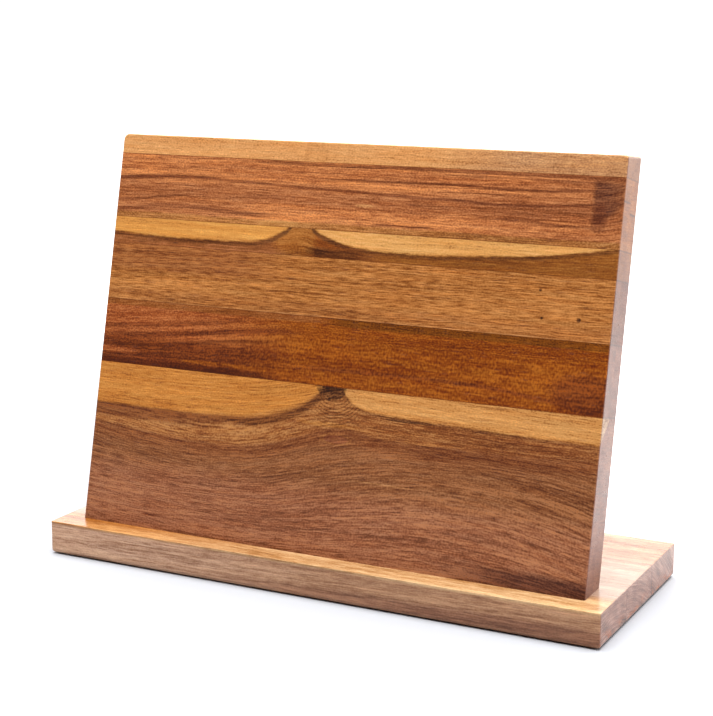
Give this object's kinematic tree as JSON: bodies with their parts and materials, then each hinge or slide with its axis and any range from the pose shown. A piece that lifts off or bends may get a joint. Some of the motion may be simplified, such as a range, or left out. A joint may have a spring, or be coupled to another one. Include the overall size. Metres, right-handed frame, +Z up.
{
  "type": "magnetic knife stand",
  "caption": "Free-standing magnetic knife stand: a laminated hardwood board with hidden block magnets, leaning back on a flat base board with anti-slip pads.",
  "frame": {"origin": "on the table, under the middle of the base board", "axes": "+X along the base board, the front knife face looks towards -Y and leans back towards +Y, +Z up"},
  "size_m": [0.3, 0.115, 0.2161],
  "materials": {
    "red_acacia": "satin oiled",
    "brown_acacia": "satin oiled",
    "golden_acacia": "satin oiled",
    "base_acacia": "semi-gloss lacquered",
    "nickel_plated_magnet": "nickel plated",
    "screw_steel": "blackened",
    "insert_brass": "satin",
    "beech": "plain",
    "pad_rubber": "matte"
  },
  "bodies": {
    "root": {"front_bottom_stave": "brown_acacia", "front_lower_stave": "red_acacia", "front_middle_stave": "brown_acacia", "front_sapwood_stave": "golden_acacia", "front_upper_stave": "red_acacia", "front_top_stave": "golden_acacia", "back_bottom_stave": "brown_acacia", "back_lower_stave": "red_acacia", "back_middle_stave": "brown_acacia", "back_sapwood_stave": "golden_acacia", "back_upper_stave": "red_acacia", "back_top_stave": "golden_acacia", "base_front_stave": "base_acacia", "base_middle_stave": "base_acacia", "base_rear_stave": "base_acacia", "front_lower_magnets": "nickel_plated_magnet", "front_middle_magnets": "nickel_plated_magnet", "front_upper_magnets": "nickel_plated_magnet", "back_lower_magnets": "nickel_plated_magnet", "back_middle_magnets": "nickel_plated_magnet", "back_upper_magnets": "nickel_plated_magnet", "assembly_screws": "screw_steel", "threaded_inserts": "insert_brass", "locating_dowels": "beech", "anti_slip_pads": "pad_rubber"}
  },
  "joints": []
}
